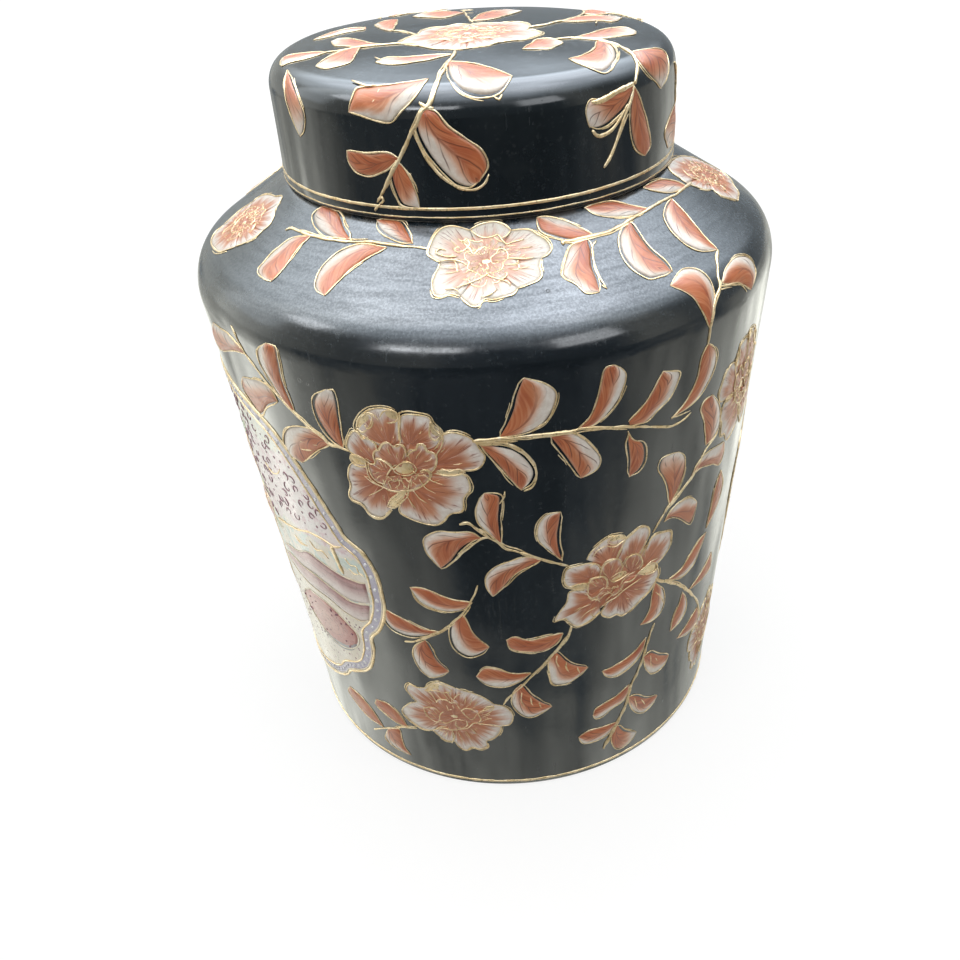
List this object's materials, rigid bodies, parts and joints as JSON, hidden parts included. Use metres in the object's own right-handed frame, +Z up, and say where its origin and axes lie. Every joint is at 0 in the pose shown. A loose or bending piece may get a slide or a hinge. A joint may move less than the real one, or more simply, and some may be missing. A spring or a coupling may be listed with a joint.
{
  "type": "ginger jar",
  "caption": "Straight-sided porcelain ginger jar with sloping shoulder and deep cap lid, black glaze with raised enamel peonies and gold lines.",
  "frame": {"origin": "jar's axis in the plane of its foot ring", "axes": "+Z up along the jar's axis; the side seen in the reference view faces -Y"},
  "size_m": [0.1959, 0.196, 0.2535],
  "materials": {
    "black_glaze": "glossy black glaze over white porcelain",
    "lid_glaze": "glossy black glaze over white porcelain",
    "gilding": "fired gold, hand-painted lines"
  },
  "bodies": {
    "jar": {"jar_body": "black_glaze", "foot_gold_line": "gilding"},
    "lid_lifter": {"lid_gold_band": "gilding", "lid_edge_gold_line": "gilding"},
    "lid": {"lid": "lid_glaze"}
  },
  "joints": [
    {"name": "lid_lift", "type": "slide", "parent": "jar", "child": "lid_lifter", "axis": [0, 0, 1], "range_m": [0, 0.12]},
    {"name": "lid_turn", "type": "hinge", "parent": "lid_lifter", "child": "lid", "pos_m": [0, 0, 0.2186], "axis": [0, 0, 1], "continuous": true}
  ]
}
